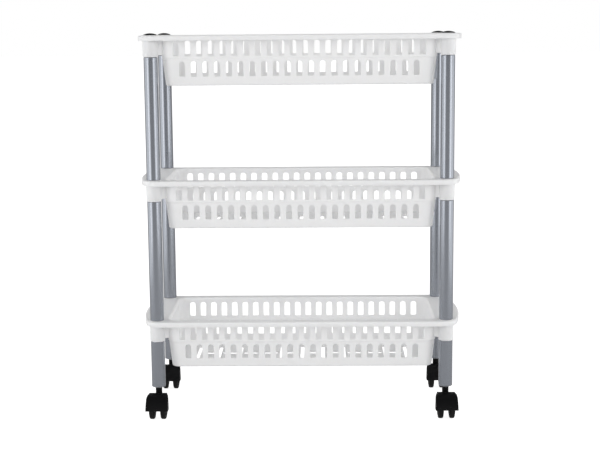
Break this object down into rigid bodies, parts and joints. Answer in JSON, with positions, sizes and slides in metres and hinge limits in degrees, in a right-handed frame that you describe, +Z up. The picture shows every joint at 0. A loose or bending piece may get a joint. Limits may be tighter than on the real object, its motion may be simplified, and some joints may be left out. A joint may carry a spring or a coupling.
{
  "type": "rolling storage trolley",
  "caption": "Slim rolling storage trolley: slotted white plastic baskets on tubular silver legs, with hooded swivel casters.",
  "frame": {"origin": "on the ground, under the centre of the whole trolley's box", "axes": "+Z up, +X to the right along the long side, +Y to the rear; the long front faces -Y"},
  "size_m": [0.513, 0.231, 0.6086],
  "materials": {
    "basket_plastic": "satin white, slightly translucent moulded polypropylene",
    "tube_paint": "metallic silver-grey paint, satin",
    "black_plastic": "satin black moulded plastic",
    "wheel_nylon": "satin black nylon",
    "socket_nylon": "matte black nylon",
    "joiner_plastic": "matte white moulded plastic",
    "steel": "zinc plated"
  },
  "bodies": {
    "frame": {"basket_top": "basket_plastic", "basket_middle": "basket_plastic", "basket_bottom": "basket_plastic", "upper_tube_front_left": "tube_paint", "lower_tube_front_left": "tube_paint", "foot_tube_front_left": "tube_paint", "top_cap_front_left": "black_plastic", "tube_joiner_middle_front_left": "joiner_plastic", "tube_joiner_bottom_front_left": "joiner_plastic", "caster_socket_front_left": "socket_nylon", "upper_tube_front_right": "tube_paint", "lower_tube_front_right": "tube_paint", "foot_tube_front_right": "tube_paint", "top_cap_front_right": "black_plastic", "tube_joiner_middle_front_right": "joiner_plastic", "tube_joiner_bottom_front_right": "joiner_plastic", "caster_socket_front_right": "socket_nylon", "upper_tube_rear_left": "tube_paint", "lower_tube_rear_left": "tube_paint", "foot_tube_rear_left": "tube_paint", "top_cap_rear_left": "black_plastic", "tube_joiner_middle_rear_left": "joiner_plastic", "tube_joiner_bottom_rear_left": "joiner_plastic", "caster_socket_rear_left": "socket_nylon", "upper_tube_rear_right": "tube_paint", "lower_tube_rear_right": "tube_paint", "foot_tube_rear_right": "tube_paint", "top_cap_rear_right": "black_plastic", "tube_joiner_middle_rear_right": "joiner_plastic", "tube_joiner_bottom_rear_right": "joiner_plastic", "caster_socket_rear_right": "socket_nylon"},
    "caster_front_left": {"caster_hood_front_left": "black_plastic", "caster_stem_front_left": "steel", "grip_ring_front_left": "steel", "axle_front_left": "steel"},
    "wheel_outer_front_left": {"wheel_outer_front_left": "wheel_nylon"},
    "wheel_inner_front_left": {"wheel_inner_front_left": "wheel_nylon"},
    "caster_front_right": {"caster_hood_front_right": "black_plastic", "caster_stem_front_right": "steel", "grip_ring_front_right": "steel", "axle_front_right": "steel"},
    "wheel_outer_front_right": {"wheel_outer_front_right": "wheel_nylon"},
    "wheel_inner_front_right": {"wheel_inner_front_right": "wheel_nylon"},
    "caster_rear_left": {"caster_hood_rear_left": "black_plastic", "caster_stem_rear_left": "steel", "grip_ring_rear_left": "steel", "axle_rear_left": "steel"},
    "wheel_outer_rear_left": {"wheel_outer_rear_left": "wheel_nylon"},
    "wheel_inner_rear_left": {"wheel_inner_rear_left": "wheel_nylon"},
    "caster_rear_right": {"caster_hood_rear_right": "black_plastic", "caster_stem_rear_right": "steel", "grip_ring_rear_right": "steel", "axle_rear_right": "steel"},
    "wheel_outer_rear_right": {"wheel_outer_rear_right": "wheel_nylon"},
    "wheel_inner_rear_right": {"wheel_inner_rear_right": "wheel_nylon"}
  },
  "joints": [
    {"name": "swivel_front_left", "type": "hinge", "parent": "frame", "child": "caster_front_left", "pos_m": [-0.229, -0.079, 0.05], "axis": [0, 0, 1], "continuous": true},
    {"name": "roll_outer_front_left", "type": "hinge", "parent": "caster_front_left", "child": "wheel_outer_front_left", "pos_m": [-0.229, -0.093, 0.019], "axis": [1, 0, 0], "continuous": true},
    {"name": "roll_inner_front_left", "type": "hinge", "parent": "caster_front_left", "child": "wheel_inner_front_left", "pos_m": [-0.229, -0.093, 0.019], "axis": [1, 0, 0], "continuous": true},
    {"name": "swivel_front_right", "type": "hinge", "parent": "frame", "child": "caster_front_right", "pos_m": [0.229, -0.079, 0.05], "axis": [0, 0, 1], "continuous": true},
    {"name": "roll_outer_front_right", "type": "hinge", "parent": "caster_front_right", "child": "wheel_outer_front_right", "pos_m": [0.229, -0.093, 0.019], "axis": [1, 0, 0], "continuous": true},
    {"name": "roll_inner_front_right", "type": "hinge", "parent": "caster_front_right", "child": "wheel_inner_front_right", "pos_m": [0.229, -0.093, 0.019], "axis": [1, 0, 0], "continuous": true},
    {"name": "swivel_rear_left", "type": "hinge", "parent": "frame", "child": "caster_rear_left", "pos_m": [-0.229, 0.098, 0.05], "axis": [0, 0, 1], "continuous": true},
    {"name": "roll_outer_rear_left", "type": "hinge", "parent": "caster_rear_left", "child": "wheel_outer_rear_left", "pos_m": [-0.229, 0.084, 0.019], "axis": [1, 0, 0], "continuous": true},
    {"name": "roll_inner_rear_left", "type": "hinge", "parent": "caster_rear_left", "child": "wheel_inner_rear_left", "pos_m": [-0.229, 0.084, 0.019], "axis": [1, 0, 0], "continuous": true},
    {"name": "swivel_rear_right", "type": "hinge", "parent": "frame", "child": "caster_rear_right", "pos_m": [0.229, 0.098, 0.05], "axis": [0, 0, 1], "continuous": true},
    {"name": "roll_outer_rear_right", "type": "hinge", "parent": "caster_rear_right", "child": "wheel_outer_rear_right", "pos_m": [0.229, 0.084, 0.019], "axis": [1, 0, 0], "continuous": true},
    {"name": "roll_inner_rear_right", "type": "hinge", "parent": "caster_rear_right", "child": "wheel_inner_rear_right", "pos_m": [0.229, 0.084, 0.019], "axis": [1, 0, 0], "continuous": true}
  ]
}
